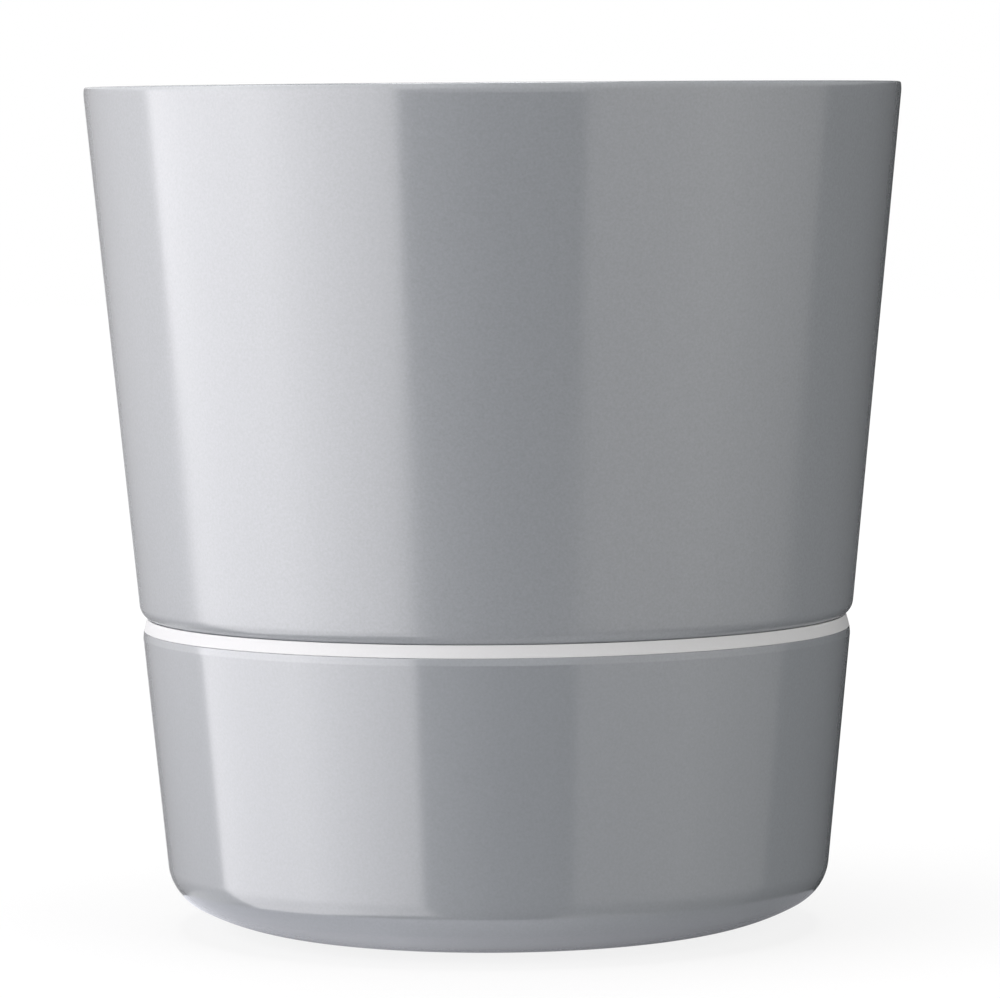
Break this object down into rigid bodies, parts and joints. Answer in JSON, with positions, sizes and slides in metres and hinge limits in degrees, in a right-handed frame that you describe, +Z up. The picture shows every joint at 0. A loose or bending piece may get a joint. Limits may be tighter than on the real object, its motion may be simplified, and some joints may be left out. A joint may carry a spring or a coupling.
{
  "type": "self watering planter",
  "caption": "Tapered grey planter that waters itself: a plant pot on a white seat collar over a water bowl, with felt wicks, a filler shaft and a float gauge inside.",
  "frame": {"origin": "on the floor, under the middle of the planter", "axes": "+Z up, -Y to the front that the picture shows, +X to the right; the filler shaft is at the back"},
  "size_m": [0.1698, 0.1696, 0.1756],
  "materials": {
    "grey_shell": "glossy moulded plastic, mid grey, with a very fine texture",
    "white_collar": "satin white moulded plastic",
    "white_fittings": "satin white moulded plastic",
    "soft_feet": "matt silicone, dark grey",
    "wick_felt": "pressed felt, off-white",
    "float_foam": "closed-cell foam, cream",
    "red_tip": "glossy red plastic"
  },
  "bodies": {
    "reservoir": {"reservoir_bowl": "grey_shell", "non_slip_feet": "soft_feet"},
    "collar": {"seat_collar": "white_collar"},
    "pot": {"plant_pot": "grey_shell", "wick_left": "wick_felt", "wick_right": "wick_felt", "filler_shaft": "white_fittings", "shaft_gasket": "soft_feet", "shaft_nut": "white_fittings", "shaft_foot": "white_fittings"},
    "float": {"level_float": "float_foam", "float_stem": "white_fittings", "indicator_tip": "red_tip"},
    "funnel": {"funnel_cap": "white_fittings"}
  },
  "joints": [
    {"name": "collar_lift", "type": "slide", "parent": "reservoir", "child": "collar", "axis": [0, 0, 1], "range_m": [0, 0.03]},
    {"name": "pot_lift", "type": "slide", "parent": "collar", "child": "pot", "axis": [0, 0, 1], "range_m": [0, 0.11]},
    {"name": "float_rise", "type": "slide", "parent": "pot", "child": "float", "axis": [0, 0, 1], "range_m": [0, 0.028]},
    {"name": "funnel_lift", "type": "slide", "parent": "pot", "child": "funnel", "axis": [0, 0, 1], "range_m": [0, 0.06]}
  ]
}
